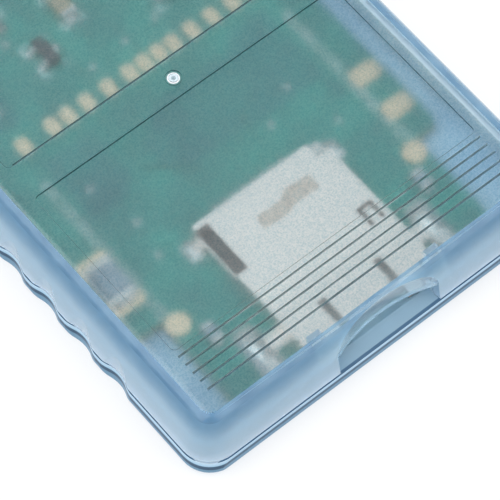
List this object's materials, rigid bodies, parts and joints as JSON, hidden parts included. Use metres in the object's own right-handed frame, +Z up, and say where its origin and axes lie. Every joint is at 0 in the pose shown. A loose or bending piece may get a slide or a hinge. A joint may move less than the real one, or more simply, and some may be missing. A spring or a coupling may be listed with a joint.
{
  "type": "memory card adapter",
  "caption": "Translucent two-part case in the outline of a console memory card, with a circuit board, edge contacts and a push-push socket for a small flash card.",
  "frame": {"origin": "centre of the underside, on the table that the adapter lies on", "axes": "+X across the width, +Y along the length towards the contact end, +Z up through the label face; the card slot is at -Y"},
  "size_m": [0.0424, 0.064, 0.0078],
  "materials": {
    "case_plastic": "clear, frosted on the inside",
    "solder_mask": "satin",
    "gold_plating": "satin",
    "spring_bronze": "satin",
    "tin_plating": "satin",
    "solder": "bright",
    "shield_steel": "satin",
    "socket_plastic": "moulded",
    "slider_plastic": "moulded",
    "spring_steel": "drawn wire",
    "ceramic": "fired",
    "package_resin": "moulded"
  },
  "bodies": {
    "adapter": {"top_shell": "case_plastic", "bottom_shell": "case_plastic", "circuit_board": "solder_mask", "console_contact_1": "gold_plating", "console_contact_2": "gold_plating", "console_contact_3": "gold_plating", "console_contact_4": "gold_plating", "console_contact_5": "gold_plating", "console_contact_6": "gold_plating", "console_contact_7": "gold_plating", "console_contact_8": "gold_plating", "programming_pads": "gold_plating", "locating_pads": "gold_plating", "side_pads": "gold_plating", "socket_pads": "tin_plating", "socket_shield": "shield_steel", "socket_base": "socket_plastic", "socket_contact_1": "spring_bronze", "socket_contact_2": "spring_bronze", "socket_contact_3": "spring_bronze", "socket_contact_4": "spring_bronze", "socket_contact_5": "spring_bronze", "socket_contact_6": "spring_bronze", "socket_contact_7": "spring_bronze", "socket_contact_8": "spring_bronze", "detect_contact": "spring_bronze", "eject_spring": "spring_steel", "cam_pin": "spring_steel", "solder_joints": "solder", "side_fuse": "ceramic", "left_capacitor": "ceramic", "right_capacitor": "ceramic", "transistor": "package_resin", "voltage_regulator": "package_resin", "input_capacitor": "ceramic", "output_capacitor": "ceramic", "level_shifter": "package_resin", "pull_up_resistors": "package_resin"},
    "slider": {"eject_slider": "slider_plastic"}
  },
  "joints": [
    {"name": "card_push", "type": "slide", "parent": "adapter", "child": "slider", "axis": [0, 1, 0], "range_m": [0, 0.0026], "stiffness_N_per_m": 120, "springref_m": -0.001, "deforming": ["eject_spring"]}
  ]
}
